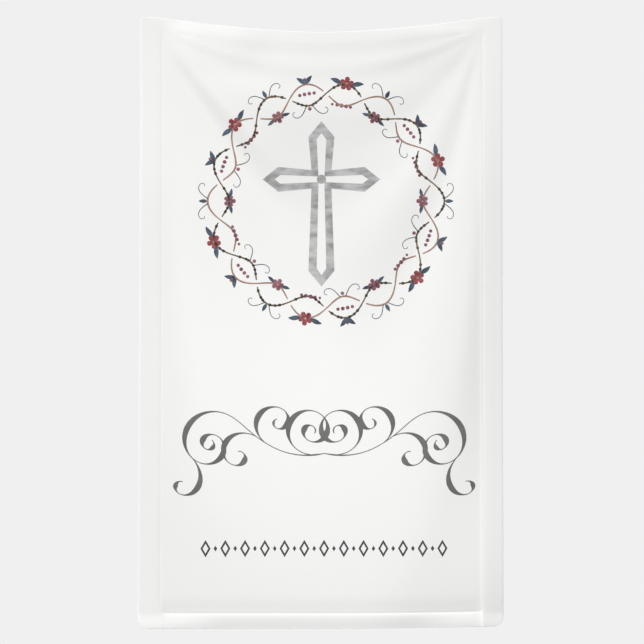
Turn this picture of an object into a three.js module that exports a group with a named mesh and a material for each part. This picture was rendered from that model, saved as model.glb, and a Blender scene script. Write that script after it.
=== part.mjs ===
// A hemmed fabric banner that hangs flat, held by its two top corners.
// Millimetres, +Z up. The front faces -Y. The origin is at the middle of the top edge, in the plane
// of the front of the two held corners.
import * as THREE from "three";

// Driving sizes of the hung cloth. Cut and hemmed it measures 914 by 1524 mm lying flat.
const HALF_WIDTH = 453.5;
const BOTTOM_Z = -1486;
const CORNER_RADIUS = { top: 7, bottom: 24 };
const CLOTH = 1.4;
const HEM_CLOTH = 2.6;

// How far each hem is turned in, from the edge to its line of stitches.
const HEM = { left: 55, right: 50, top: 35, bottom: 38 };
const HEM_STEP = 4;
const FIELD_CORNER = 12;
const SEAM_LEFT = -HALF_WIDTH + HEM.left;
const SEAM_RIGHT = HALF_WIDTH - HEM.right;

// The top edge sags between its corners, and dips a little again at each of them.
const TOP_SAG = { rise: 45, power: 1.7, cornerDip: 5, dipWidth: 28 };
const BOTTOM_BOW = 4;

// The folds start at two held points, one inside each top corner.
const HELD = { x: 403, z: 10 };

// A fold hangs from one held point to the other. Its curve is a parabola down to deepParabola,
// and the deeper it hangs the squarer it gets.
const SWAG = { deepParabola: 507, squarer: 0.0034, widest: 0.985, deepest: 6000, precision: 0.001 };

// One row for each fold: how deep its middle hangs, how far it spreads above and below that,
// and how far it stands out (or in, below zero) at its left, middle and right.
const FOLDS = [
  { drop: 16, above: 20, below: 20, left: 0.3, middle: 0.4, right: 0.8 },
  { drop: 98, above: 24, below: 26, left: 1.2, middle: 0.9, right: 1.9 },
  { drop: 205, above: 55, below: 70, left: 1.4, middle: 2.5, right: 1.2 },
  { drop: 320, above: 60, below: 60, left: 0, middle: 0, right: -1.6 },
  { drop: 470, above: 110, below: 230, left: -5, middle: -1.7, right: 0 },
  { drop: 545, above: 80, below: 80, left: 1, middle: 1.2, right: 4.5 },
  { drop: 745, above: 110, below: 190, left: -1, middle: -1.6, right: -13 },
];
const FOLD_FADE = { steepPower: 0.85, heldRadius: 36, sideStart: 0.06, sideWidth: 0.62,
  hemOverlap: 10, hemWidth: 26 };

// The straight fold that runs down from the left held point: the cloth above it stands further out.
const DIAGONAL = { x: -403, z: -13, slope: 1.29, height: 8.5, startShare: 0.3, growth: 260, startFade: 200,
  width: 17, widening: 0.13, decay: 170, decayWidening: 0.3, end: 260, endFade: 380 };

// Behind each top corner the cloth is held flat against the wall, and all the rest stands off it.
const PAD = { inner: 410, bottom: 8, standOff: 8, sideFade: 330, footFade: 440, foldSide: 18, foldFoot: 22 };

// The larger forms, each with where it starts and how far it reaches. The cloth leans out towards
// its foot, comes forward past the left side of the big loop and falls back past its right side.
const LEAN_OUT = 0.006;
const LEAN = { out: 45, top: -180, length: 1280 };
const TOP_LEAN = { slope: 0.045, from: 6, soft: 8, sideStart: 120, sideWidth: 120, sideEnd: 350, endWidth: 45 };
const LOOP = { depth: 1500, power: 1.8, least: 0.1 };
const LOW_PART = { top: -450, length: 950 };
const LEFT_RISE = { slope: 0.12, lowSlope: 0.08, slopeTop: -700, slopeLength: 700, top: -100,
  length: 500, soft: 14, lowSoft: 40 };
const LEFT_FLANK = { out: 1.6, width: 60, top: -260, length: 200, foot: -1250, footLength: 300,
  sideStart: 60, sideWidth: 200 };
const RIGHT_FALL = { slope: 0.26, lowSlope: 0.06, slopeTop: -750, slopeLength: 680, top: -150,
  length: 300, soft: 14, lowSoft: 50 };
const RIGHT_HEM = { slope: 0.125, soft: 5, step: 1.4, stepWidth: 8 };
const FOOT = { fall: 1.4, fallWidth: 40, rise: 0.6, riseWidth: 9, sideWidth: 16 };
const FOOT_CURL = { middle: -1, corner: 2.8, cornerStart: 215, cornerWidth: 150 };

// The grid: the columns lie closer towards the held points, and the rows towards the top and the foot.
const FIELD_COLUMNS = 32;
const COLUMN_EVENNESS = 0.45;
const EDGE_COLUMNS = [0, 3, 28];
const TOP_ROWS = [0, 2.5, 7, 16, 26];
const ROW_BANDS = [
  { from: HEM.top + HEM_STEP, to: 330, rows: 17 },
  { from: 330, to: 900, rows: 14 },
  { from: 900, to: 1396, rows: 10 },
  { from: 1396, to: 1444, rows: 4 },
];
const BOTTOM_ROWS = [24, 12, 5, 1.5, 0];

const clamp = THREE.MathUtils.clamp;
const lerp = THREE.MathUtils.lerp;
const smooth = (t) => THREE.MathUtils.smoothstep(t, 0, 1);
const bump = (t) => Math.exp(-t * t);
// Nothing below zero and t above it, rounded over a distance.
const ramp = (t, soft) => (t + Math.hypot(t, soft)) / 2;

function topEdge(x) {
  const dip = TOP_SAG.cornerDip * bump((HALF_WIDTH - Math.abs(x)) / TOP_SAG.dipWidth);
  return TOP_SAG.rise * (Math.abs(x) / HALF_WIDTH) ** TOP_SAG.power - dip;
}

function bottomEdge(x) {
  return BOTTOM_Z + BOTTOM_BOW * (x / HALF_WIDTH) ** 2;
}

// 1 on the pad behind a top corner, and nothing past the two widths beside and below it.
function padShare(x, z, sideWidth, footWidth) {
  const side = smooth((Math.abs(x) - PAD.inner) / sideWidth + 1);
  return side * smooth((z - PAD.bottom) / footWidth + 1);
}

// How far a point lies inside each line of stitches, below zero in the hem.
function insideSeams(x, z) {
  const side = Math.min(x - SEAM_LEFT, SEAM_RIGHT - x);
  const foot = z - bottomEdge(x) - HEM.bottom;
  const head = topEdge(x) - z - HEM.top;
  const corner =
    FIELD_CORNER - Math.hypot(Math.max(0, FIELD_CORNER - side), Math.max(0, FIELD_CORNER - foot));
  const atCorner = side < FIELD_CORNER && foot < FIELD_CORNER;
  return { side, foot, nearest: Math.min(head, atCorner ? corner : Math.min(side, foot)) };
}

const squareness = (drop) => 2 + Math.max(0, drop - SWAG.deepParabola) * SWAG.squarer;

// How deep the middle hangs of the curve that runs through a point, found by halving.
function swagDrop(x, z) {
  const across = Math.min(Math.abs(x) / HELD.x, SWAG.widest);
  const below = HELD.z - z;
  if (below <= 0) return below / (1 - across ** 2);
  let shallow = 0;
  let deep = SWAG.deepest;
  while (deep - shallow > SWAG.precision) {
    const middle = (shallow + deep) / 2;
    if (middle * (1 - across ** squareness(middle)) > below) deep = middle;
    else shallow = middle;
  }
  return deep;
}

function folds(x, z) {
  const across = Math.min(Math.abs(x) / HELD.x, SWAG.widest);
  const drop = swagDrop(x, z);
  const sideways = smooth((across - FOLD_FADE.sideStart) / FOLD_FADE.sideWidth);
  const fromHeld = Math.hypot(Math.abs(x) - HELD.x, z - HELD.z);
  const inField = smooth((HELD.x + FOLD_FADE.hemOverlap - Math.abs(x)) / FOLD_FADE.hemWidth);
  let out = 0;
  for (const fold of FOLDS) {
    const height = lerp(fold.middle, x < 0 ? fold.left : fold.right, sideways);
    const spread = drop < fold.drop ? fold.above : fold.below;
    const steep = Math.hypot(1, (2 * fold.drop * across) / HELD.x) / (1 - across ** 2);
    out += (height * bump((drop - fold.drop) / spread)) / steep ** FOLD_FADE.steepPower;
  }
  return (out * (1 - bump(fromHeld / FOLD_FADE.heldRadius)) + diagonal(x, z)) * inField;
}

function diagonal(x, z) {
  const long = Math.hypot(1, DIAGONAL.slope);
  const right = x - DIAGONAL.x;
  const up = z - DIAGONAL.z;
  const along = (right - DIAGONAL.slope * up) / long;
  const above = (DIAGONAL.slope * right + up) / long;
  const far = Math.max(along, 0);
  const width = DIAGONAL.width + DIAGONAL.widening * far;
  const decay = DIAGONAL.decay + DIAGONAL.decayWidening * far;
  const height = DIAGONAL.height * lerp(DIAGONAL.startShare, 1, smooth(far / DIAGONAL.growth));
  const start = smooth(along / DIAGONAL.startFade + 0.2);
  const end = 1 - smooth((far - DIAGONAL.end) / DIAGONAL.endFade);
  return height * start * end * smooth(above / width + 0.5) * bump(Math.max(above, 0) / decay);
}

// Half the width of the big loop that hangs between the held points, at one height.
function loopReach(z) {
  const fallen = Math.max(0, (HELD.z - z) / LOOP.depth) ** LOOP.power;
  return HELD.x * Math.sqrt(ramp(1 - fallen, LOOP.least));
}

// How far the cloth slopes away past a side of the loop, softer and less steep low down.
function sideForm(form, past, z) {
  const low = smooth((LOW_PART.top - z) / LOW_PART.length);
  const flatter = smooth((form.slopeTop - z) / form.slopeLength);
  const soft = lerp(form.soft, form.lowSoft, low);
  const slope = lerp(form.slope, form.lowSlope, flatter);
  return slope * ramp(past - soft, soft) * smooth((form.top - z) / form.length);
}

function topLean(x, z) {
  const side = smooth((Math.abs(x) - TOP_LEAN.sideStart) / TOP_LEAN.sideWidth);
  const beforePad = 1 - smooth((Math.abs(x) - TOP_LEAN.sideEnd) / TOP_LEAN.endWidth);
  return -TOP_LEAN.slope * ramp(z - TOP_LEAN.from, TOP_LEAN.soft) * side * beforePad;
}

function leftFlank(x, z) {
  const height = smooth((LEFT_FLANK.top - z) / LEFT_FLANK.length) *
    smooth((z - LEFT_FLANK.foot) / LEFT_FLANK.footLength);
  const side = smooth((-x - LEFT_FLANK.sideStart) / LEFT_FLANK.sideWidth);
  return LEFT_FLANK.out * smooth((x + loopReach(z)) / LEFT_FLANK.width) * height * side;
}

// The right hem leans back from its seam to its edge, and more slowly just below the pad.
function rightHem(x, z) {
  const step = RIGHT_HEM.step * smooth((x - SEAM_RIGHT) / RIGHT_HEM.stepWidth + 1);
  const lean = RIGHT_HEM.slope * ramp(x - SEAM_RIGHT, RIGHT_HEM.soft);
  const free = 1 - padShare(x, z, PAD.foldSide, PAD.footFade);
  return step * smooth((RIGHT_FALL.top - z) / RIGHT_FALL.length) - lean * free;
}

function footFall(inside) {
  const fall = FOOT.fall * smooth(1 - inside.foot / FOOT.fallWidth);
  const rise = FOOT.rise * smooth(-inside.foot / FOOT.riseWidth);
  return (rise - fall) * smooth(inside.side / FOOT.sideWidth);
}

function footCurl(x, inside) {
  const corner = smooth((Math.abs(x) - FOOT_CURL.cornerStart) / FOOT_CURL.cornerWidth);
  return lerp(FOOT_CURL.middle, FOOT_CURL.corner, corner) * smooth(-inside.foot / HEM.bottom);
}

// How far the cloth stands out from the wall towards the front at a point.
function relief(x, z, inside) {
  const standOff = PAD.standOff * (1 - padShare(x, z, PAD.sideFade, PAD.footFade));
  const lean = LEAN.out * smooth((LEAN.top - z) / LEAN.length) - LEAN_OUT * z;
  const rise = sideForm(LEFT_RISE, -x - loopReach(z), z);
  const fall = sideForm(RIGHT_FALL, Math.min(x, SEAM_RIGHT) - loopReach(z), z);
  const forms = folds(x, z) + topLean(x, z) + lean + leftFlank(x, z) + rise - fall + rightHem(x, z) +
    footFall(inside) + footCurl(x, inside);
  return standOff + forms * (1 - padShare(x, z, PAD.foldSide, PAD.foldFoot));
}

// Half the cloth's width at a distance from an edge whose corners are rounded.
function roundedHalf(distance, radius) {
  const short = Math.max(0, radius - distance);
  return HALF_WIDTH - radius + Math.sqrt(radius ** 2 - short ** 2);
}

// Where a column lies on a row: the columns in the hems draw in where the corners are rounded.
function drawnIn(x, half) {
  const seam = x < 0 ? SEAM_LEFT : SEAM_RIGHT;
  if (Math.abs(x) <= Math.abs(seam)) return x;
  return seam + ((x - seam) * (Math.sign(x) * half - seam)) / (Math.sign(x) * HALF_WIDTH - seam);
}

function columnPlaces() {
  const middle = (SEAM_LEFT + SEAM_RIGHT) / 2;
  const half = (SEAM_RIGHT - SEAM_LEFT) / 2 - HEM_STEP;
  const field = [];
  for (let i = 0; i <= FIELD_COLUMNS; i++) {
    const s = (2 * i) / FIELD_COLUMNS - 1;
    const graded = COLUMN_EVENNESS * s + (1 - COLUMN_EVENNESS) * Math.sin((s * Math.PI) / 2);
    field.push(middle + half * graded);
  }
  const left = EDGE_COLUMNS.map((d) => d - HALF_WIDTH);
  const right = EDGE_COLUMNS.map((d) => HALF_WIDTH - d).reverse();
  return [...left, SEAM_LEFT, ...field, SEAM_RIGHT, ...right];
}

// Each row's distance below the middle of the top edge.
function rowPlaces() {
  const rows = [...TOP_ROWS, HEM.top];
  for (const band of ROW_BANDS)
    for (let i = 0; i < band.rows; i++) rows.push(lerp(band.from, band.to, i / band.rows));
  const seam = -BOTTOM_Z - HEM.bottom;
  return [...rows, seam - HEM_STEP, seam, ...BOTTOM_ROWS.map((d) => -BOTTOM_Z - d)];
}

// One closed sheet: a front and a back with the same grid, joined round the edge.
function clothGeometry() {
  const columns = columnPlaces();
  const rows = rowPlaces();
  const positions = [];
  const layer = columns.length * rows.length;
  const front = [];
  const back = [];
  for (const fromTop of rows) {
    const fromBottom = -BOTTOM_Z - fromTop;
    const half = Math.min(
      roundedHalf(fromTop, CORNER_RADIUS.top),
      roundedHalf(fromBottom, CORNER_RADIUS.bottom),
    );
    for (const column of columns) {
      const x = drawnIn(column, half);
      const z = lerp(topEdge(x), bottomEdge(x), fromTop / -BOTTOM_Z);
      const inside = insideSeams(x, z);
      const thick = lerp(HEM_CLOTH, CLOTH, clamp(inside.nearest / HEM_STEP, 0, 1));
      const out = relief(x, z, inside);
      front.push(x, -out, z);
      back.push(x, thick - out, z);
    }
  }
  positions.push(...front, ...back);

  const at = (column, row) => row * columns.length + column;
  const faces = [];
  const quad = (a, b, c, d) => faces.push(a, b, c, a, c, d);
  for (let row = 0; row + 1 < rows.length; row++)
    for (let column = 0; column + 1 < columns.length; column++) {
      const a = at(column, row);
      const b = at(column, row + 1);
      const c = at(column + 1, row + 1);
      const d = at(column + 1, row);
      // The diagonal of each cell runs the way the folds do.
      if (columns[column] < 0) quad(a, b, c, d);
      else quad(b, c, d, a);
      if (columns[column] < 0) quad(a + layer, d + layer, c + layer, b + layer);
      else quad(d + layer, c + layer, b + layer, a + layer);
    }
  const rim = [];
  for (let column = 0; column < columns.length; column++) rim.push(at(column, 0));
  for (let row = 1; row < rows.length; row++) rim.push(at(columns.length - 1, row));
  for (let column = columns.length - 2; column >= 0; column--) rim.push(at(column, rows.length - 1));
  for (let row = rows.length - 2; row > 0; row--) rim.push(at(0, row));
  rim.forEach((a, i) => {
    const b = rim[(i + 1) % rim.length];
    quad(a, b, b + layer, a + layer);
  });

  const geometry = new THREE.BufferGeometry();
  geometry.setAttribute("position", new THREE.Float32BufferAttribute(positions, 3));
  geometry.setIndex(faces);
  geometry.computeVertexNormals();
  return geometry;
}

const cloth = new THREE.MeshStandardMaterial({ color: 0xf4f4f0, roughness: 0.8, metalness: 0 });
const banner = new THREE.Mesh(clothGeometry(), cloth);
banner.name = "banner_cloth";

const group = new THREE.Group();
group.add(banner);
export default group;
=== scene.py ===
"""A hemmed fabric banner that hangs by its two top corners, with its print and its stitches."""

import math

import bpy
import numpy as np
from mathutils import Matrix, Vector
from mathutils.geometry import delaunay_2d_cdt


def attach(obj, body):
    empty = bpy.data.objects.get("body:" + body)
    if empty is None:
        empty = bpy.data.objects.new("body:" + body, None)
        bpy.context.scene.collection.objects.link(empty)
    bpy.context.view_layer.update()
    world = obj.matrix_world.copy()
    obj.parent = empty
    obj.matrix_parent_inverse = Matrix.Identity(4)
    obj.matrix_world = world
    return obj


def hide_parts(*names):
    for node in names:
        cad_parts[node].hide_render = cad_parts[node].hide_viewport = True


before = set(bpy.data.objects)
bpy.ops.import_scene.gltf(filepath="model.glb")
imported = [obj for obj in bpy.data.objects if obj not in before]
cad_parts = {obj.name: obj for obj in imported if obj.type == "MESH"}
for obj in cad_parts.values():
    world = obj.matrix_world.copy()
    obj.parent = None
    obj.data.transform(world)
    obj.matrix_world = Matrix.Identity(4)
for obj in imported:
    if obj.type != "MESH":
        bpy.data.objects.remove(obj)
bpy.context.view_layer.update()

# The sizes are in millimetres, as in the solid, and MM turns them into metres.
MM = 0.001

HALF_WIDTH = 453.5
BOTTOM_Z = -1486
CORNER_RADIUS = {"top": 7, "bottom": 24}
HEM = {"left": 55, "right": 50, "top": 35, "bottom": 38}
FIELD_CORNER = 12
SEAM_LEFT = -HALF_WIDTH + HEM["left"]
SEAM_RIGHT = HALF_WIDTH - HEM["right"]

TOP_SAG = {"rise": 45, "power": 1.7, "corner_dip": 5, "dip_width": 28}
BOTTOM_BOW = 4
HELD = {"x": 403, "z": 10}
SWAG = {"deep_parabola": 507, "squarer": 0.0034, "widest": 0.985, "deepest": 6000, "halvings": 24}

# One row for each fold: how deep its middle hangs, its spread above and below that, and how far
# it stands out at its left, middle and right.
FOLDS = [
    (16, 20, 20, 0.3, 0.4, 0.8),
    (98, 24, 26, 1.2, 0.9, 1.9),
    (205, 55, 70, 1.4, 2.5, 1.2),
    (320, 60, 60, 0, 0, -1.6),
    (470, 110, 230, -5, -1.7, 0),
    (545, 80, 80, 1.0, 1.2, 4.5),
    (745, 110, 190, -1, -1.6, -13),
]
FOLD_FADE = {"steep_power": 0.85, "held_radius": 36, "side_start": 0.06, "side_width": 0.62,
             "hem_overlap": 10, "hem_width": 26}
# The straight fold that runs down from the left held point: the cloth above it stands further out.
DIAGONAL = {"x": -403, "z": -13, "slope": 1.29, "height": 8.5, "start_share": 0.3, "growth": 260,
            "start_fade": 200, "start_lead": 0.2, "width": 17, "widening": 0.13, "decay": 170,
            "decay_widening": 0.3, "end": 260, "end_fade": 380}

PAD = {"inner": 410, "bottom": 8, "stand_off": 8, "side_fade": 330, "foot_fade": 440,
       "fold_side": 18, "fold_foot": 22}
LEAN_OUT = 0.006
LEAN = {"out": 45, "top": -180, "length": 1280}
TOP_LEAN = {"slope": 0.045, "start": 6, "soft": 8, "side_start": 120, "side_width": 120,
            "side_end": 350, "end_width": 45}
LOOP = {"depth": 1500, "power": 1.8, "least": 0.1}
LOW_PART = {"top": -450, "length": 950}
LEFT_RISE = {"slope": 0.12, "low_slope": 0.08, "slope_top": -700, "slope_length": 700,
             "top": -100, "length": 500, "soft": 14, "low_soft": 40}
LEFT_FLANK = {"out": 1.6, "width": 60, "top": -260, "length": 200, "foot": -1250,
              "foot_length": 300, "side_start": 60, "side_width": 200}
RIGHT_FALL = {"slope": 0.26, "low_slope": 0.06, "slope_top": -750, "slope_length": 680,
              "top": -150, "length": 300, "soft": 14, "low_soft": 50}
RIGHT_HEM = {"slope": 0.125, "soft": 5, "step": 1.4, "step_width": 8}
# The one form that the solid leaves out: a low brow along the top edge.
BROW = {"left": 5, "right": 2.5, "top": -10, "length": 110, "side_start": 100, "side_width": 120,
        "side_end": 405, "end_width": 110}
FOOT = {"fall": 1.4, "fall_width": 40, "rise": 0.6, "rise_width": 9, "side_width": 16}
FOOT_CURL = {"middle": -1.0, "corner": 2.8, "corner_start": 215, "corner_width": 150}


def smooth(t):
    t = np.clip(t, 0, 1)
    return t * t * (3 - 2 * t)


def bump(t):
    return np.exp(-t * t)


def ramp(t, soft):
    """Nothing below zero and t above it, rounded over a distance."""
    return (t + np.hypot(t, soft)) / 2


def blend(a, b, share):
    return a + (b - a) * share


def top_edge(x):
    dip = TOP_SAG["corner_dip"] * bump((HALF_WIDTH - np.abs(x)) / TOP_SAG["dip_width"])
    return TOP_SAG["rise"] * (np.abs(x) / HALF_WIDTH) ** TOP_SAG["power"] - dip


def bottom_edge(x):
    return BOTTOM_Z + BOTTOM_BOW * (x / HALF_WIDTH) ** 2


def pad_share(x, z, side_width, foot_width):
    side = smooth((np.abs(x) - PAD["inner"]) / side_width + 1)
    return side * smooth((z - PAD["bottom"]) / foot_width + 1)


def inside_seams(x, z):
    """How far a point lies inside the side seams, the foot seam and the nearest of all four."""
    side = np.minimum(x - SEAM_LEFT, SEAM_RIGHT - x)
    foot = z - bottom_edge(x) - HEM["bottom"]
    head = top_edge(x) - z - HEM["top"]
    short = np.hypot(np.maximum(0, FIELD_CORNER - side), np.maximum(0, FIELD_CORNER - foot))
    at_corner = (side < FIELD_CORNER) & (foot < FIELD_CORNER)
    nearest = np.where(at_corner, FIELD_CORNER - short, np.minimum(side, foot))
    return side, foot, np.minimum(head, nearest)


def squareness(drop):
    return 2 + np.maximum(0, drop - SWAG["deep_parabola"]) * SWAG["squarer"]


def swag_drop(x, z):
    """How deep the middle hangs of the curve that runs through a point, found by halving."""
    across = np.minimum(np.abs(x) / HELD["x"], SWAG["widest"])
    below = HELD["z"] - z
    shallow = np.zeros_like(below)
    deep = np.full_like(below, SWAG["deepest"])
    for _ in range(SWAG["halvings"]):
        middle = (shallow + deep) / 2
        over = middle * (1 - across ** squareness(middle)) > below
        deep = np.where(over, middle, deep)
        shallow = np.where(over, shallow, middle)
    return np.where(below <= 0, below / (1 - across**2), deep)


def folds(x, z):
    across = np.minimum(np.abs(x) / HELD["x"], SWAG["widest"])
    drop = swag_drop(x, z)
    sideways = smooth((across - FOLD_FADE["side_start"]) / FOLD_FADE["side_width"])
    from_held = np.hypot(np.abs(x) - HELD["x"], z - HELD["z"])
    in_field = smooth((HELD["x"] + FOLD_FADE["hem_overlap"] - np.abs(x)) / FOLD_FADE["hem_width"])
    out = np.zeros_like(drop)
    for depth, above, below, left, middle, right in FOLDS:
        height = blend(middle, np.where(x < 0, left, right), sideways)
        spread = np.where(drop < depth, above, below)
        steep = np.hypot(1, 2 * depth * across / HELD["x"]) / (1 - across**2)
        out += height * bump((drop - depth) / spread) / steep ** FOLD_FADE["steep_power"]
    return (out * (1 - bump(from_held / FOLD_FADE["held_radius"])) + diagonal(x, z)) * in_field


def diagonal(x, z):
    long = math.hypot(1, DIAGONAL["slope"])
    right = x - DIAGONAL["x"]
    up = z - DIAGONAL["z"]
    along = (right - DIAGONAL["slope"] * up) / long
    above = (DIAGONAL["slope"] * right + up) / long
    far = np.maximum(along, 0)
    width = DIAGONAL["width"] + DIAGONAL["widening"] * far
    decay = DIAGONAL["decay"] + DIAGONAL["decay_widening"] * far
    height = DIAGONAL["height"] * blend(DIAGONAL["start_share"], 1, smooth(far / DIAGONAL["growth"]))
    start = smooth(along / DIAGONAL["start_fade"] + DIAGONAL["start_lead"])
    end = 1 - smooth((far - DIAGONAL["end"]) / DIAGONAL["end_fade"])
    return height * start * end * smooth(above / width + 0.5) * bump(np.maximum(above, 0) / decay)


def loop_reach(z):
    """Half the width of the big loop that hangs between the held points, at one height."""
    fallen = np.maximum(0, (HELD["z"] - z) / LOOP["depth"]) ** LOOP["power"]
    return HELD["x"] * np.sqrt(ramp(1 - fallen, LOOP["least"]))


def side_form(form, past, z, low):
    """How far the cloth slopes away past a side of the loop, softer and less steep low down."""
    flatter = smooth((form["slope_top"] - z) / form["slope_length"])
    soft = blend(form["soft"], form["low_soft"], low)
    slope = blend(form["slope"], form["low_slope"], flatter)
    return slope * ramp(past - soft, soft) * smooth((form["top"] - z) / form["length"])


def large_forms(x, z):
    """The leans, the left side that comes forward and the right side that falls back."""
    reach = loop_reach(z)
    top_side = smooth((np.abs(x) - TOP_LEAN["side_start"]) / TOP_LEAN["side_width"])
    before_pad = 1 - smooth((np.abs(x) - TOP_LEAN["side_end"]) / TOP_LEAN["end_width"])
    top_lean = -TOP_LEAN["slope"] * ramp(z - TOP_LEAN["start"], TOP_LEAN["soft"])
    lean = LEAN["out"] * smooth((LEAN["top"] - z) / LEAN["length"]) - LEAN_OUT * z
    flank_height = smooth((LEFT_FLANK["top"] - z) / LEFT_FLANK["length"])
    flank_height *= smooth((z - LEFT_FLANK["foot"]) / LEFT_FLANK["foot_length"])
    flank_side = smooth((-x - LEFT_FLANK["side_start"]) / LEFT_FLANK["side_width"])
    flank = LEFT_FLANK["out"] * smooth((x + reach) / LEFT_FLANK["width"]) * flank_height * flank_side
    low = smooth((LOW_PART["top"] - z) / LOW_PART["length"])
    rise = side_form(LEFT_RISE, -x - reach, z, low)
    fall = side_form(RIGHT_FALL, np.minimum(x, SEAM_RIGHT) - reach, z, low)
    return top_lean * top_side * before_pad + lean + flank + rise - fall


def brow(x, z):
    """Left and right of its middle, the cloth stands out a little along its top edge."""
    height = np.where(x < 0, BROW["left"], BROW["right"])
    start = smooth((np.abs(x) - BROW["side_start"]) / BROW["side_width"])
    end = smooth((BROW["side_end"] - np.abs(x)) / BROW["end_width"])
    return height * start * end * smooth((z - BROW["top"]) / BROW["length"] + 1)


def right_hem(x, z):
    step = RIGHT_HEM["step"] * smooth((x - SEAM_RIGHT) / RIGHT_HEM["step_width"] + 1)
    lean = RIGHT_HEM["slope"] * ramp(x - SEAM_RIGHT, RIGHT_HEM["soft"])
    free = 1 - pad_share(x, z, PAD["fold_side"], PAD["foot_fade"])
    return step * smooth((RIGHT_FALL["top"] - z) / RIGHT_FALL["length"]) - lean * free


def foot_forms(x, side, foot):
    fall = FOOT["fall"] * smooth(1 - foot / FOOT["fall_width"])
    rise = FOOT["rise"] * smooth(-foot / FOOT["rise_width"])
    corner = smooth((np.abs(x) - FOOT_CURL["corner_start"]) / FOOT_CURL["corner_width"])
    curl = blend(FOOT_CURL["middle"], FOOT_CURL["corner"], corner) * smooth(-foot / HEM["bottom"])
    return (rise - fall) * smooth(side / FOOT["side_width"]) + curl


# What the solid is too coarse for: the groove along the stitches, which is shallow at the head, the
# fullness of each hem between its stitches and its fold, the round side edges, and the little
# puckers that the thread draws up, as waves of (length, start, share). SAME_SEAM is how much two
# distances may differ and still be taken as the distance from one seam.
GROOVE = {"depth": 0.3, "width": 2.4, "head_share": 0.2, "corner": 10}
FULLNESS = {"side": 0.25, "foot": 0.7, "side_start": 5, "side_width": 40}
HEAD_FULLNESS = {"height": 0.7, "crest": 5, "spread": 20}
EDGE_FALL = {"depth": 0.55, "width": 5}
PUCKER = {"height": 0.014, "reach": 9, "waves": ((17.3, 0.4, 0.8), (9.1, 2.1, 0.5), (53.0, 1.3, 1.6))}
SAME_SEAM = 1


def sewn(x, z, side, nearest):
    """What the sewing of the hems adds to the shape of the front."""
    along = np.where(np.abs(side) < np.abs(nearest) + SAME_SEAM, z, x)
    ripple = sum(share * np.sin(2 * math.pi * along / wave + start)
                 for wave, start, share in PUCKER["waves"])
    pucker = PUCKER["height"] * ripple * bump(nearest / PUCKER["reach"])
    across = np.clip(-nearest / HEM["top"], 0, 1)
    inside = smooth((side + FULLNESS["side_start"]) / FULLNESS["side_width"])
    height = blend(FULLNESS["side"], np.where(z < BOTTOM_Z / 2, FULLNESS["foot"], 0), inside)
    head = top_edge(x) - z - HEM["top"]
    head_crest = bump((head + HEAD_FULLNESS["crest"]) / HEAD_FULLNESS["spread"])
    full = height * 4 * across * (1 - across) + HEAD_FULLNESS["height"] * head_crest * inside
    at_head = smooth(1 - (head - nearest) / GROOVE["corner"])
    groove = GROOVE["depth"] * blend(1, GROOVE["head_share"], at_head) * bump(nearest / GROOVE["width"])
    fall = EDGE_FALL["depth"] * (1 - smooth((HALF_WIDTH - np.abs(x)) / EDGE_FALL["width"]))
    return pucker + full - fall - groove


def standing_out(x, z):
    """How far the front of the cloth stands out from the plane of its held corners."""
    side, foot, nearest = inside_seams(x, z)
    stand_off = PAD["stand_off"] * (1 - pad_share(x, z, PAD["side_fade"], PAD["foot_fade"]))
    forms = folds(x, z) + large_forms(x, z) + brow(x, z) + right_hem(x, z) + foot_forms(x, side, foot)
    free = 1 - pad_share(x, z, PAD["fold_side"], PAD["fold_foot"])
    return stand_off + forms * free + sewn(x, z, side, nearest)


def on_cloth(x, z, lift=0.0):
    """Points in metres on the front of the cloth, lifted off it by a distance."""
    x = np.asarray(x, float)
    z = np.asarray(z, float)
    return np.stack([x, -standing_out(x, z) - lift, z], -1) * MM


def cloth_normals(x, z, step=0.5):
    across = (standing_out(x + step, z) - standing_out(x - step, z)) / (2 * step)
    down = (standing_out(x, z + step) - standing_out(x, z - step)) / (2 * step)
    normals = np.stack([-across, -np.ones_like(across), -down], -1)
    return normals / np.linalg.norm(normals, axis=-1, keepdims=True)


def add_mesh(name, points, faces, material):
    mesh = bpy.data.meshes.new(name)
    mesh.from_pydata([tuple(p) for p in points], [], faces)
    mesh.validate()
    mesh.polygons.foreach_set("use_smooth", [True] * len(mesh.polygons))
    mesh.materials.append(material)
    mesh.update()
    made = bpy.data.objects.new(name, mesh)
    bpy.context.scene.collection.objects.link(made)
    return made


# A wave texture of scale 1 has waves wave_length long, and the threads lie pitch apart, in metres.
WEAVE = {"pitch": 0.0007, "wave_length": 0.314, "distortion": 0.4, "detail": 1, "detail_scale": 0.2,
         "strength": 0.35, "height": 0.00012}
MATT = {"specular": 0.25, "sheen_roughness": 0.6, "noise_detail": 5}


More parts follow.
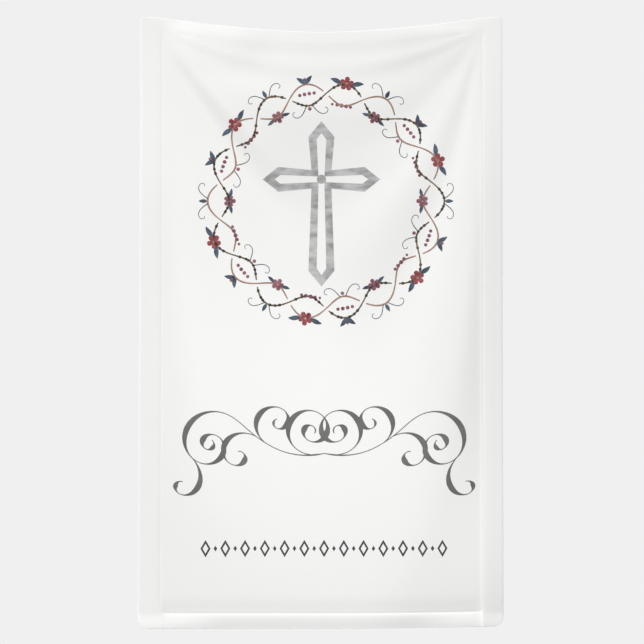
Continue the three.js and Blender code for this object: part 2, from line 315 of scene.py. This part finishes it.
def node_material(name, colours, noise_scale, roughness, sheen=0.0, stretch=(1, 1, 1),
                  contrast=(0.3, 0.7)):
    """A printed or plain woven cloth: uneven colour, a fine plain weave and a matt surface."""
    material = bpy.data.materials.new(name)
    material.use_nodes = True
    nodes = material.node_tree.nodes
    links = material.node_tree.links
    shader = nodes["Principled BSDF"]
    shader.inputs["Roughness"].default_value = roughness
    shader.inputs["Specular IOR Level"].default_value = MATT["specular"]
    shader.inputs["Sheen Weight"].default_value = sheen
    shader.inputs["Sheen Roughness"].default_value = MATT["sheen_roughness"]
    place = nodes.new("ShaderNodeTexCoord")
    mapping = nodes.new("ShaderNodeMapping")
    mapping.inputs["Scale"].default_value = stretch
    links.new(place.outputs["Object"], mapping.inputs["Vector"])
    noise = nodes.new("ShaderNodeTexNoise")
    noise.inputs["Scale"].default_value = noise_scale
    noise.inputs["Detail"].default_value = MATT["noise_detail"]
    links.new(mapping.outputs["Vector"], noise.inputs["Vector"])
    colour = nodes.new("ShaderNodeValToRGB")
    low, high = colour.color_ramp.elements
    low.position, high.position = contrast
    low.color = (*colours[0], 1)
    high.color = (*colours[-1], 1)
    for i, between in enumerate(colours[1:-1], 1):
        share = i / (len(colours) - 1)
        added = colour.color_ramp.elements.new(blend(*contrast, share))
        added.color = (*between, 1)
    links.new(noise.outputs["Fac"], colour.inputs["Fac"])
    links.new(colour.outputs["Color"], shader.inputs["Base Color"])
    # One wave runs across the warp threads and one across the weft.
    woven = nodes.new("ShaderNodeMath")
    woven.operation = "MULTIPLY"
    for i, direction in enumerate(("X", "Z")):
        wave = nodes.new("ShaderNodeTexWave")
        wave.bands_direction = direction
        wave.inputs["Scale"].default_value = WEAVE["wave_length"] / WEAVE["pitch"]
        wave.inputs["Distortion"].default_value = WEAVE["distortion"]
        wave.inputs["Detail"].default_value = WEAVE["detail"]
        wave.inputs["Detail Scale"].default_value = WEAVE["detail_scale"]
        links.new(place.outputs["Object"], wave.inputs["Vector"])
        links.new(wave.outputs["Fac"], woven.inputs[i])
    bumps = nodes.new("ShaderNodeBump")
    bumps.inputs["Strength"].default_value = WEAVE["strength"]
    bumps.inputs["Distance"].default_value = WEAVE["height"]
    links.new(woven.outputs["Value"], bumps.inputs["Height"])
    links.new(bumps.outputs["Normal"], shader.inputs["Normal"])
    return material


INK_ROUGHNESS = 0.85


def ink(name, colours, noise_scale, **uneven):
    return node_material(name, colours, noise_scale, INK_ROUGHNESS, **uneven)


cloth_white = node_material("cloth_white", [(0.897, 0.897, 0.883), (0.903, 0.903, 0.889)], 14, 0.82,
                            sheen=0.1)
thread_white = node_material("thread_white", [(0.84, 0.84, 0.82), (0.9, 0.9, 0.885)], 900, 0.5,
                             sheen=0.2)
grey_print = ink("grey_print", [(0.3, 0.3, 0.3), (0.44, 0.44, 0.44), (0.56, 0.56, 0.56)], 34,
                 stretch=(0.75, 1, 1.9), contrast=(0.34, 0.66))
ink_print = ink("ink_print", [(0.13, 0.13, 0.13), (0.18, 0.18, 0.178)], 30)
dark_print = ink("dark_print", [(0.066, 0.066, 0.07), (0.082, 0.082, 0.088)], 30)
stem_print = ink("stem_print", [(0.07, 0.055, 0.04), (0.26, 0.19, 0.11)], 85)
bead_print = ink("bead_print", [(0.03, 0.028, 0.03), (0.09, 0.08, 0.075)], 85)
pale_stem_print = ink("pale_stem_print", [(0.3, 0.18, 0.15), (0.44, 0.28, 0.22)], 85)
leaf_print = ink("leaf_print", [(0.04, 0.052, 0.075), (0.12, 0.16, 0.21)], 60)
berry_print = ink("berry_print", [(0.17, 0.06, 0.085), (0.36, 0.17, 0.22)], 70)
flower_print = ink("flower_print", [(0.2, 0.04, 0.05), (0.38, 0.11, 0.12)], 70)

# The sheet: its thickness, the layers turned in at its hems, the roll of its edges and its grid.
THIN = 0.45
TURNED = {"side": 0.8, "end": 0.45, "lap": 3, "soft": 1.2}
EDGE = {"roll": 0.6, "least_flat": 0.05, "reach": 2}
COLUMN_GAP = 7.5
ROW_GAP = 7.5
EDGE_LINES = [0, 0.15, 0.4, 0.8, 1.5, 3, 5.5, 9.5]
SEAM_LINES = [-6.5, -4.6, -3.6, -3, -2.4, -1.4, -0.6, 0, 0.6, 1.4, 2.6, 5, 9]


def grid_lines(total, first_seam, last_seam, gap):
    """Distances across the cloth: close together at its edges and seams, and even between them."""
    near = [*EDGE_LINES, *(total - d for d in EDGE_LINES)]
    near += [first_seam - d for d in SEAM_LINES] + [total - last_seam + d for d in SEAM_LINES]
    near = sorted(near)
    lines = []
    for a, b in zip(near, near[1:]):
        steps = max(1, round((b - a) / gap))
        lines += [a + (b - a) * i / steps for i in range(steps)]
    return np.array([*lines, near[-1]])


def rounded_half(distance, radius):
    """Half the cloth's width at a distance from an edge whose corners are rounded."""
    short = np.maximum(0, radius - distance)
    return HALF_WIDTH - radius + np.sqrt(radius**2 - short**2)


def drawn_in(x, half):
    """The columns in the hems draw in where the corners are rounded."""
    seam = np.where(x < 0, SEAM_LEFT, SEAM_RIGHT)
    edge = np.sign(x) * HALF_WIDTH
    drawn = seam + (x - seam) * (np.sign(x) * half - seam) / (edge - seam)
    return np.where(np.abs(x) <= np.abs(seam), x, drawn)


def turned_layers(x, z):
    """Thickness of the cloth: the head and foot are turned in first, and the sides over them."""
    side, foot, _ = inside_seams(x, z)
    end = np.minimum(foot, top_edge(x) - z - HEM["top"])
    over_side = smooth((TURNED["lap"] - side) / TURNED["soft"])
    over_end = smooth((TURNED["lap"] - end) / TURNED["soft"])
    return THIN + TURNED["side"] * over_side + TURNED["end"] * over_end


def rolled(distance):
    """How far a face draws back towards the middle of the cloth, close to an edge."""
    short = np.maximum(0, EDGE["roll"] - distance)
    return EDGE["roll"] - np.sqrt(EDGE["roll"] ** 2 - short**2)


def cloth_sheet():
    across = grid_lines(2 * HALF_WIDTH, HEM["left"], HEM["right"], COLUMN_GAP) - HALF_WIDTH
    down = grid_lines(-BOTTOM_Z, HEM["top"], HEM["bottom"], ROW_GAP)
    columns, rows = np.meshgrid(across, down)
    half = np.minimum(rounded_half(rows, CORNER_RADIUS["top"]),
                      rounded_half(-BOTTOM_Z - rows, CORNER_RADIUS["bottom"]))
    x = drawn_in(columns, half)
    z = blend(top_edge(x), bottom_edge(x), rows / -BOTTOM_Z)
    from_edge = np.minimum(HALF_WIDTH - np.abs(columns), np.minimum(rows, -BOTTOM_Z - rows))
    out = standing_out(x, z)
    roll = rolled(from_edge)
    layers = turned_layers(x, z)
    at_edge = np.maximum(layers, 2 * EDGE["roll"] + EDGE["least_flat"])
    thick = np.where(from_edge < EDGE["reach"], at_edge, layers)
    front = np.stack([x, -out + roll, z], -1).reshape(-1, 3) * MM
    back = np.stack([x, -out + thick - roll, z], -1).reshape(-1, 3) * MM
    layer = len(front)
    index = np.arange(layer).reshape(columns.shape)
    a, b = index[:-1, :-1].ravel(), index[1:, :-1].ravel()
    c, d = index[1:, 1:].ravel(), index[:-1, 1:].ravel()
    faces = [*zip(a.tolist(), b.tolist(), c.tolist(), d.tolist())]
    faces += [(f[0] + layer, f[3] + layer, f[2] + layer, f[1] + layer) for f in faces[:]]
    rim = [*index[0, :], *index[1:, -1], *index[-1, -2::-1], *index[-2:0:-1, 0]]
    rim = [int(i) for i in rim]
    faces += [(p, q, q + layer, p + layer) for p, q in zip(rim, rim[1:] + rim[:1])]
    return add_mesh("banner_sheet", np.vstack([front, back]), faces, cloth_white)


banner = cloth_sheet()
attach(banner, "root")
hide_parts("banner_cloth")

# The print is a thin layer of ink that follows the cloth, with a grid of points inside its outlines.
INK_LIFT = 0.12
INK_DEPTH = 0.3
INK_GRID = 8
INK_GRID_OFFSET = (0.37, 0.41)
OUTLINE_STEP = 4
SAME_POINT = 1e-4


def anticlockwise(shape):
    area = sum(p[0] * q[1] - q[0] * p[1] for p, q in zip(shape, shape[1:] + shape[:1]))
    return shape if area > 0 else shape[::-1]


def fine(shape):
    """The same outline with its long sides cut into short ones, which can follow the folds."""
    points = []
    for p, q in zip(shape, shape[1:] + shape[:1]):
        steps = max(1, math.ceil(math.dist(p, q) / OUTLINE_STEP))
        points += [(blend(p[0], q[0], i / steps), blend(p[1], q[1], i / steps)) for i in range(steps)]
    return points


def printed(name, shapes, material, holes=(), over=()):
    """Shapes in millimetres, holes cut from them and shapes over both, as one thin layer of ink."""
    every = [fine(anticlockwise([tuple(p) for p in s])) for s in [*shapes, *holes, *over]]
    points = [Vector(p) for s in every for p in s]
    faces = []
    first = 0
    for s in every:
        faces.append(list(range(first, first + len(s))))
        first += len(s)
    low = np.min([tuple(p) for p in points], axis=0)
    high = np.max([tuple(p) for p in points], axis=0)
    for x in np.arange(low[0] + INK_GRID_OFFSET[0], high[0], INK_GRID):
        for z in np.arange(low[1] + INK_GRID_OFFSET[1], high[1], INK_GRID):
            points.append(Vector((x, z)))
    found = delaunay_2d_cdt(points, [], faces, 1, SAME_POINT, True)
    verts, tris, origins = found[0], found[2], found[5]
    hole_from = len(shapes)
    over_from = hole_from + len(holes)
    keep = []
    for tri, origin in zip(tris, origins):
        inked = any(o < hole_from for o in origin)
        cut = any(hole_from <= o < over_from for o in origin)
        covered = any(o >= over_from for o in origin)
        if covered or (inked and not cut):
            keep.append(tuple(tri))
    used = sorted({i for t in keep for i in t})
    place = {old: new for new, old in enumerate(used)}
    tris = [tuple(place[i] for i in t) for t in keep]
    flat = np.array([tuple(verts[i]) for i in used])
    x, z = flat[:, 0], flat[:, 1]
    count = len(used)
    points = np.vstack([on_cloth(x, z, INK_LIFT), on_cloth(x, z, INK_LIFT - INK_DEPTH)])
    edges = {(t[i], t[(i + 1) % 3]) for t in tris for i in range(3)}
    rim = [(p, q) for p, q in edges if (q, p) not in edges]
    rim.sort()
    faces = tris + [tuple(i + count for i in t[::-1]) for t in tris]
    faces += [(q, p, p + count, q + count) for p, q in rim]
    made = add_mesh(name, points, faces, material)
    normals = cloth_normals(x, z)
    both = np.vstack([normals, -normals])
    mesh = made.data
    loops = [both[loop.vertex_index] for loop in mesh.loops]
    for polygon in mesh.polygons[2 * len(tris):]:
        for i in polygon.loop_indices:
            loops[i] = tuple(polygon.normal)
    mesh.normals_split_custom_set([tuple(n) for n in loops])
    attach(made, "root")


def disc(x, z, radius, sides):
    turn = 2 * math.pi / sides
    return [(x + radius * math.cos(i * turn), z + radius * math.sin(i * turn)) for i in range(sides)]


def stroke(path, widths):
    """A pen line along a path, as one quadrilateral for each step."""
    path = np.asarray(path, float)
    widths = np.broadcast_to(np.asarray(widths, float), len(path))
    along = np.gradient(path, axis=0)
    along /= np.maximum(np.linalg.norm(along, axis=1, keepdims=True), 1e-9)
    across = np.stack([-along[:, 1], along[:, 0]], -1) * widths[:, None] / 2
    left, right = path + across, path - across
    return [[tuple(right[i]), tuple(right[i + 1]), tuple(left[i + 1]), tuple(left[i])]
            for i in range(len(path) - 1)]


# The cross: an outlined Latin cross, whose arms widen to a pointed end.
CROSS = {"x": 0.5, "z": -368.5, "disc": 11.5, "disc_sides": 28}
# One row for each arm: its direction, then half its width at the root, the distance and half width
# of its shoulder, and the distance of its tip; first for its outline and then for the slit in it.
ARMS = [
    ((0, 1), (25, 106, 32.5, 145), (7.2, 100, 12, 116)),
    ((1, 0), (23, 108, 31, 147), (6.8, 102, 11, 117)),
    ((0, -1), (25, 229, 32.5, 268), (7.2, 223, 12, 240)),
    ((-1, 0), (23, 108, 31, 147), (6.8, 102, 11, 117)),
]


def arm_point(direction, distance, sideways):
    """Sideways is to the right for someone who looks out along the arm."""
    along, across = direction
    return (CROSS["x"] + along * distance + across * sideways,
            CROSS["z"] + across * distance - along * sideways)


outline = []
slits = []
for i, (direction, (root, shoulder, wide, tip), slit) in enumerate(ARMS):
    next_root = ARMS[(i + 1) % 4][1][0]
    outline += [arm_point(direction, shoulder, -wide), arm_point(direction, tip, 0),
                arm_point(direction, shoulder, wide), arm_point(direction, next_root, root)]
    slit_root, slit_shoulder, slit_wide, slit_tip = slit
    slits.append([arm_point(direction, 0, -slit_root), arm_point(direction, slit_shoulder, -slit_wide),
                  arm_point(direction, slit_tip, 0), arm_point(direction, slit_shoulder, slit_wide),
                  arm_point(direction, 0, slit_root)])
printed("print_cross", [outline], grey_print, holes=slits,
        over=[disc(CROSS["x"], CROSS["z"], CROSS["disc"], CROSS["disc_sides"])])

# Lines drawn with a pen turn by rows of (length, curvature at its start, curvature at its end).
PEN_STEP = 3.0


def pen_path(start, heading, bends):
    point = np.array(start, float)
    angle = heading
    path = [point.copy()]
    for length, first, last in bends:
        steps = max(2, round(length / PEN_STEP))
        for i in range(steps):
            angle += blend(first, last, (i + 0.5) / steps) * length / steps
            point = point + np.array([math.cos(angle), math.sin(angle)]) * length / steps
            path.append(point.copy())
    return np.array(path)


# The ring: two stems that twist round each other, one dark and beaded and one pale, with leaves,
# flowers, berries and tendrils.
RING = {"x": 12, "z": -423, "radius": 269, "sway": 27, "twists": 9}
STEM = {"width": 4.6, "thin": 3.2, "step": 0.012, "gap": 0.024}
BEAD = {"thin": 4.4, "width": 7.6, "length": 0.024, "places": (0.2, 0.3, 0.42, 0.63, 0.7, 0.85)}
TENDRIL = {"width": 2.4, "thin": 1.4, "bends": ((22, -0.012, 0.02), (26, 0.03, 0.09), (16, 0.09, 0.22))}
LEAF = {"steps": 7, "widest": 0.8, "fullness": 0.85}
PETAL = {"count": 5, "points": 14, "middle": 0.56, "half_length": 0.44, "half_width": 0.34,
         "wider_end": 0.25}

# A flower has its size, how far its middle lies off the outermost line of the stems, and the radius
# of its heart. A leaf or tendril starts at an angle from the middle of its part of the ring, and
# leans away from it. A row of berries has its places along the ring, its bow and how it tapers.
RED_FLOWER = {"size": 18, "off": 2, "heart": 3.6}
MAUVE_FLOWER = {"size": 15.5, "off": 1, "heart": 3.1}
HEART_SIDES = 12
RED_FLOWER_LEAF = {"apart": 0.045, "lean": 1.05, "length": 31, "width": 12, "bend": 0.5}
MAUVE_FLOWER_LEAF = {"apart": 0.045, "lean": 1.05, "length": 22, "width": 8.5, "bend": 0.5}
SINGLE_LEAF = {"off": 1, "length": 22, "width": 9.5}
PAIR_LEAF = {"apart": 0, "lean": 0.6, "length": 28, "width": 11, "bend": 0.4}
OUTER_TENDRIL = {"apart": 0.02, "lean": 0.7}
INNER_TENDRIL = {"apart": 0.03, "lean": 0.6}
BOWED_BERRIES = {"places": (-0.11, -0.06, -0.015, 0.035, 0.08), "bow": 60, "radius": 5.6, "taper": 20}
BETWEEN_BERRIES = {"places": (-0.07, -0.025, 0.02, 0.065), "bow": 0, "radius": 5, "taper": 10, "off": 3}
SINGLE_BERRY = {"radius": 4.6, "outside": 12, "inside": 8}
BERRY_SIDES = 14


def ring_point(angle, radius):
    """A point of the ring: the angle is clockwise from its top."""
    return (RING["x"] + radius * math.sin(angle), RING["z"] + radius * math.cos(angle))


def stem_part(strand, start, end, thin, thick):
    angles = np.linspace(start, end, max(3, round((end - start) / STEM["step"])))
    path = [ring_point(a, RING["radius"] + strand * RING["sway"] * math.sin(RING["twists"] * a))
            for a in angles]
    return stroke(path, blend(thin, thick, np.sin(np.linspace(0, math.pi, len(path)))))


def leaf(root, heading, length, width, bend=0.0):
    """A pointed leaf from its root outwards; bend curves its tip to the left of its heading."""
    steps = LEAF["steps"]
    left, right = [], []
    for i in range(steps + 1):
        t = i / steps
        turned = heading + bend * t
        along = (root[0] + math.cos(heading + bend * t / 2) * length * t,
                 root[1] + math.sin(heading + bend * t / 2) * length * t)
        half = 0
        if 0 < i < steps:
            half = width / 2 * math.sin(math.pi * t ** LEAF["widest"]) ** LEAF["fullness"]
        side = (-math.sin(turned) * half, math.cos(turned) * half)
        left.append((along[0] + side[0], along[1] + side[1]))
        right.append((along[0] - side[0], along[1] - side[1]))
    return right + left[-2:0:-1]


def petals(centre, size, turn):
    """The petals of a flower, the first of them with the heading turn."""
    shapes = []
    for i in range(PETAL["count"]):
        heading = turn + i * 2 * math.pi / PETAL["count"]
        petal = []
        for j in range(PETAL["points"]):
            t = j * 2 * math.pi / PETAL["points"]
            along = PETAL["middle"] * size + PETAL["half_length"] * size * math.cos(t)
            across = PETAL["half_width"] * size * math.sin(t) * (1 + PETAL["wider_end"] * math.cos(t))
            petal.append((centre[0] + along * math.cos(heading) - across * math.sin(heading),
                          centre[1] + along * math.sin(heading) + across * math.cos(heading)))
        shapes.append(petal)
    return shapes


def tendril(root, heading, turn):
    """A thin curl that ends to the left of its heading, or to the right where turn is below zero."""
    bends = [(length, start * turn, end * turn) for length, start, end in TENDRIL["bends"]]
    path = pen_path(root, heading, bends)
    return stroke(path, np.linspace(TENDRIL["width"], TENDRIL["thin"], len(path)))


def shoot(angle, radius, outwards, side, kind):
    """The root and the heading of what grows from the ring, outwards, or inwards where that is -1."""
    root = ring_point(angle + side * kind["apart"], radius)
    return root, outwards * math.pi / 2 - angle - outwards * side * kind["lean"]


def ring_leaf(angle, radius, outwards, side, kind):
    root, heading = shoot(angle, radius, outwards, side, kind)
    return leaf(root, heading, kind["length"], kind["width"], -outwards * side * kind["bend"])


def ring_tendril(angle, radius, outwards, side, kind):
    root, heading = shoot(angle, radius, outwards, side, kind)
    return tendril(root, heading, -outwards * side)


def ring_berry(angle, distance, radius):
    return disc(*ring_point(angle, distance), radius, BERRY_SIDES)


def berry_row(angle, distance, row):
    return [ring_berry(angle + place, distance + row["bow"] * place**2,
                       row["radius"] - row["taper"] * abs(place)) for place in row["places"]]


dark_stems, pale_stems, beads, leaves, tendrils = [], [], [], [], []
berries, red_petals, mauve_petals, hearts = [], [], [], []
part = math.pi / RING["twists"]
outside = RING["radius"] + RING["sway"]
inside = RING["radius"] - RING["sway"]
for i in range(2 * RING["twists"]):
    for strand, stems in ((1, dark_stems), (-1, pale_stems)):
        # A stem passes under the other at every second crossing, and leaves a gap there.
        under_start = (i + (strand > 0)) % 2 == 0
        start = i * part + (STEM["gap"] if under_start else 0)
        end = (i + 1) * part - (0 if under_start else STEM["gap"])
        stems += stem_part(strand, start, end, STEM["thin"], STEM["width"])
    for place in BEAD["places"]:
        middle = (i + place) * part
        beads += stem_part(1, middle - BEAD["length"] / 2, middle + BEAD["length"] / 2, BEAD["thin"],
                           BEAD["width"])
    # Three kinds of ornament take turns round the ring.
    angle = (i + 0.5) * part
    up = math.pi / 2 - angle
    down = -math.pi / 2 - angle
    if i % 3 == 0:
        centre = ring_point(angle, outside + RED_FLOWER["off"])
        red_petals += petals(centre, RED_FLOWER["size"], up)
        hearts.append(disc(*centre, RED_FLOWER["heart"], HEART_SIDES))
        for side in (1, -1):
            leaves.append(ring_leaf(angle, outside, 1, side, RED_FLOWER_LEAF))
        berries += berry_row(angle, inside, BOWED_BERRIES)
    elif i % 3 == 1:
        centre = ring_point(angle, inside - MAUVE_FLOWER["off"])
        mauve_petals += petals(centre, MAUVE_FLOWER["size"], down)
        hearts.append(disc(*centre, MAUVE_FLOWER["heart"], HEART_SIDES))
        for side in (1, -1):
            leaves.append(ring_leaf(angle, inside, -1, side, MAUVE_FLOWER_LEAF))
            tendrils += ring_tendril(angle, outside, 1, side, OUTER_TENDRIL)
        root = ring_point(angle, outside + SINGLE_LEAF["off"])
        leaves.append(leaf(root, up, SINGLE_LEAF["length"], SINGLE_LEAF["width"]))
    else:
        for side in (1, -1):
            leaves.append(ring_leaf(angle, outside, 1, side, PAIR_LEAF))
            tendrils += ring_tendril(angle, inside, -1, side, INNER_TENDRIL)
        berries += berry_row(angle, RING["radius"] + BETWEEN_BERRIES["off"], BETWEEN_BERRIES)
        berries.append(ring_berry(angle, outside + SINGLE_BERRY["outside"], SINGLE_BERRY["radius"]))
        berries.append(ring_berry(angle, inside - SINGLE_BERRY["inside"], SINGLE_BERRY["radius"]))

printed("print_dark_stems", dark_stems, stem_print)
printed("print_beads", beads, bead_print)
printed("print_pale_stems", pale_stems, pale_stem_print, over=hearts)
printed("print_leaves", leaves, leaf_print, over=tendrils)
printed("print_berries", berries, berry_print)
printed("print_red_flowers", red_petals, flower_print, holes=hearts)
printed("print_mauve_flowers", mauve_petals, berry_print, holes=hearts)

# The row of lozenges, hollow and solid in turn.
LOZENGES = {"x": 7, "z": -1287.5, "count": 13, "pitch": 49, "width": 25, "height": 43, "line": 4.6}
SMALL_LOZENGE = {"width": 9, "height": 14}


def lozenge(x, z, width, height):
    return [(x + width / 2, z), (x, z + height / 2), (x - width / 2, z), (x, z - height / 2)]


big, hollow, small = [], [], []
for i in range(LOZENGES["count"]):
    x = LOZENGES["x"] + (i - (LOZENGES["count"] - 1) / 2) * LOZENGES["pitch"]
    line = LOZENGES["line"] * math.hypot(LOZENGES["width"], LOZENGES["height"])
    big.append(lozenge(x, LOZENGES["z"], LOZENGES["width"], LOZENGES["height"]))
    hollow.append(lozenge(x, LOZENGES["z"], LOZENGES["width"] - 2 * line / LOZENGES["height"],
                          LOZENGES["height"] - 2 * line / LOZENGES["width"]))
    if i:
        small.append(lozenge(x - LOZENGES["pitch"] / 2, LOZENGES["z"], *SMALL_LOZENGE.values()))
printed("print_lozenges", big, dark_print, holes=hollow, over=small)

# The pen scroll, whose left half mirrors its right half. Its main line starts at the middle, and
# each branch leaves it at a distance along it, at an angle in degrees to its heading.
SCROLL = {"x": 8, "z": -990}
PEN = {"hairline": 2.1, "full": 14.5, "nib": math.radians(28), "power": 3, "taper": 30}
MAIN_LINE = {"start": (0, -62), "heading": math.radians(-12),
             "bends": [(90, 0.004, 0.006), (118, 0.006, 0.002), (70, 0.002, -0.012),
                       (190, -0.012, -0.0165), (150, -0.0165, -0.032), (100, -0.032, -0.085)]}
BRANCHES = [
    (24, 4, [(60, 0.011, 0.018), (140, 0.018, 0.020), (120, 0.020, 0.034), (80, 0.034, 0.085)]),
    (153, 6, [(50, 0.012, 0.022), (76, 0.022, 0.022), (76, 0.024, 0.045), (46, 0.045, 0.100)]),
    (180, -8, [(60, -0.012, -0.020), (90, -0.020, -0.030), (70, -0.030, -0.075)]),
    (465, 5, [(40, 0.006, 0.016), (80, 0.016, 0.030), (60, 0.030, 0.085)]),
]


def pen_widths(path):
    """A broad nib: thin along its own angle and full across it, and thin again at both ends."""
    along = np.gradient(path, axis=0)
    heading = np.arctan2(along[:, 1], along[:, 0])
    pressure = np.abs(np.sin(heading - PEN["nib"])) ** PEN["power"]
    run = np.concatenate([[0], np.cumsum(np.linalg.norm(np.diff(path, axis=0), axis=1))])
    ends = smooth(run / PEN["taper"]) * smooth((run[-1] - run) / PEN["taper"])
    return blend(PEN["hairline"], PEN["full"], pressure * ends)


main_line = pen_path(MAIN_LINE["start"], MAIN_LINE["heading"], MAIN_LINE["bends"])
scroll_lines = [main_line]
for distance, angle, bends in BRANCHES:
    i = round(distance / PEN_STEP)
    ahead = main_line[i + 1] - main_line[i - 1]
    heading = math.atan2(ahead[1], ahead[0]) + math.radians(angle)
    scroll_lines.append(pen_path(main_line[i], heading, bends))
scroll_shapes = []
for line in scroll_lines:
    for shape in stroke(line, pen_widths(line)):
        for mirror in (1, -1):
            scroll_shapes.append([(SCROLL["x"] + mirror * x, SCROLL["z"] + z) for x, z in shape])
printed("print_scroll", scroll_shapes, ink_print)

STITCH = {"pitch": 3.3, "length": 2.7, "radius": 0.24, "sides": 5, "sunk": 0.08, "from_edge": 3}
# The rings of a stitch: how far along it, how large, and how far up each one lies.
STITCH_RINGS = ((-1, 0.35, -0.7), (-0.55, 0.95, 0), (0.55, 0.95, 0), (1, 0.35, -0.7))


def seam_paths():
    """The middle line of each seam, as points in millimetres a stitch apart."""
    lines = []
    end = STITCH["from_edge"]
    for x in (SEAM_LEFT, SEAM_RIGHT):
        z = np.arange(bottom_edge(x) + end, top_edge(x) - end, STITCH["pitch"])
        lines.append((np.full_like(z, x), z))
    x = np.arange(SEAM_LEFT + end, SEAM_RIGHT - end, STITCH["pitch"])
    lines.append((x, top_edge(x) - HEM["top"]))
    lines.append((x, bottom_edge(x) + HEM["bottom"]))
    return lines


def stitch_mesh(name, back):
    points, faces = [], []
    sides = STITCH["sides"]
    last_ring = len(STITCH_RINGS) - 1
    for x, z in seam_paths():
        if back:
            x, z = (x[1:] + x[:-1]) / 2, (z[1:] + z[:-1]) / 2
        centres = on_cloth(x, z)
        normals = cloth_normals(x, z)
        if back:
            centres[:, 1] += turned_layers(x, z) * MM
            normals = -normals
        along = np.gradient(centres, axis=0)
        along /= np.linalg.norm(along, axis=1, keepdims=True)
        across = np.cross(along, normals)
        centres -= normals * STITCH["sunk"] * MM
        for centre, ahead, beside, normal in zip(centres, along, across, normals):
            first = len(points)
            for t, size, up in STITCH_RINGS:
                shift = ahead * t * STITCH["length"] / 2 + normal * up * STITCH["radius"]
                middle = centre + shift * MM
                for i in range(sides):
                    turn = 2 * math.pi * i / sides
                    offset = beside * math.cos(turn) + normal * math.sin(turn)
                    points.append(middle + offset * size * STITCH["radius"] * MM)
            for ring in range(last_ring):
                for i in range(sides):
                    a = first + ring * sides + i
                    b = first + ring * sides + (i + 1) % sides
                    faces.append((a, a + sides, b + sides, b))
            faces.append(tuple(first + i for i in range(sides)))
            faces.append(tuple(first + last_ring * sides + i for i in reversed(range(sides))))
    made = add_mesh(name, points, faces, thread_white)
    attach(made, "root")
    return made


front_stitches = stitch_mesh("stitches_front", back=False)
back_stitches = stitch_mesh("stitches_back", back=True)

FLOOR = {"z": -2.3, "radius": 2.0, "sides": 96, "colour": (0.6, 0.6, 0.59, 1), "roughness": 0.9}


def pale_floor():
    material = bpy.data.materials.new("pale_floor")
    material.use_nodes = True
    shader = material.node_tree.nodes["Principled BSDF"]
    shader.inputs["Base Color"].default_value = FLOOR["colour"]
    shader.inputs["Roughness"].default_value = FLOOR["roughness"]
    turn = 2 * math.pi / FLOOR["sides"]
    rim = [(FLOOR["radius"] * math.cos(i * turn), FLOOR["radius"] * math.sin(i * turn), FLOOR["z"])
           for i in range(FLOOR["sides"])]
    floor = add_mesh("floor", rim, [tuple(range(FLOOR["sides"]))], material)
    # The floor throws no light back up at the cloth.
    floor.visible_diffuse = False
    floor.visible_glossy = False


pale_floor()

# The wall colour fills the side behind the banner, and a dimmer studio the side in front of it.
WORLD = {"front": 0.25, "behind": 0.871, "from": -0.3, "to": 0.4}


def studio_world():
    world = bpy.data.worlds.new("studio")
    bpy.context.scene.world = world
    world.use_nodes = True
    nodes = world.node_tree.nodes
    links = world.node_tree.links
    place = nodes.new("ShaderNodeTexCoord")
    parts = nodes.new("ShaderNodeSeparateXYZ")
    links.new(place.outputs["Generated"], parts.inputs["Vector"])
    shade = nodes.new("ShaderNodeMapRange")
    shade.interpolation_type = "SMOOTHSTEP"
    for name, value in (("From Min", WORLD["from"]), ("From Max", WORLD["to"]),
                        ("To Min", WORLD["front"]), ("To Max", WORLD["behind"])):
        shade.inputs[name].default_value = value
    links.new(parts.outputs["Y"], shade.inputs["Value"])
    background = nodes["Background"]
    links.new(shade.outputs["Result"], background.inputs["Color"])


studio_world()

# A broad lamp high up, a little to the left of the front, and so far off that its light falls off
# only a little towards the foot of the cloth. A weak spot from the same side lights the lower half.
LIGHT_FROM = Vector((-0.33, -0.53, 0.78)).normalized()
KEY = {"distance": 60, "aim": (0, 0, -0.72), "size": 21, "strength": 4.17}
POOL = {"distance": 9, "aim": (0.02, 0, -1.15), "radius": 0.42, "size": 0.12, "strength": 0.3}


def add_lamp(data, settings):
    lamp = bpy.data.objects.new(data.name, data)
    lamp.location = Vector(settings["aim"]) + LIGHT_FROM * settings["distance"]
    lamp.rotation_mode = "QUATERNION"
    lamp.rotation_quaternion = (-LIGHT_FROM).to_track_quat("-Z", "Y")
    bpy.context.scene.collection.objects.link(lamp)


key = bpy.data.lights.new("key", "AREA")
key.shape = "DISK"
key.size = KEY["size"]
key.energy = KEY["strength"] * math.pi * KEY["distance"] ** 2
add_lamp(key, KEY)

pool = bpy.data.lights.new("pool", "SPOT")
pool.spot_size = 2 * math.atan(POOL["radius"] / POOL["distance"])
pool.spot_blend = 1
pool.shadow_soft_size = POOL["size"]
pool.energy = POOL["strength"] * 4 * math.pi * POOL["distance"] ** 2
add_lamp(pool, POOL)

# The frame spans this many metres at the cloth, and the camera's distance follows from that.
CAMERA = {"lens": 135, "sensor": 36, "span": 1.6076, "x": 0.0019, "z": -0.7254, "cloth_y": -0.024}
camera_data = bpy.data.cameras.new("camera")
camera_data.lens = CAMERA["lens"]
camera_data.sensor_width = CAMERA["sensor"]
camera = bpy.data.objects.new("camera", camera_data)
distance = CAMERA["span"] * CAMERA["lens"] / CAMERA["sensor"]
camera.location = (CAMERA["x"], CAMERA["cloth_y"] - distance, CAMERA["z"])
camera.rotation_euler = (math.pi / 2, 0, 0)
bpy.context.scene.collection.objects.link(camera)
bpy.context.scene.camera = camera

bpy.context.scene.view_settings.view_transform = "Standard"
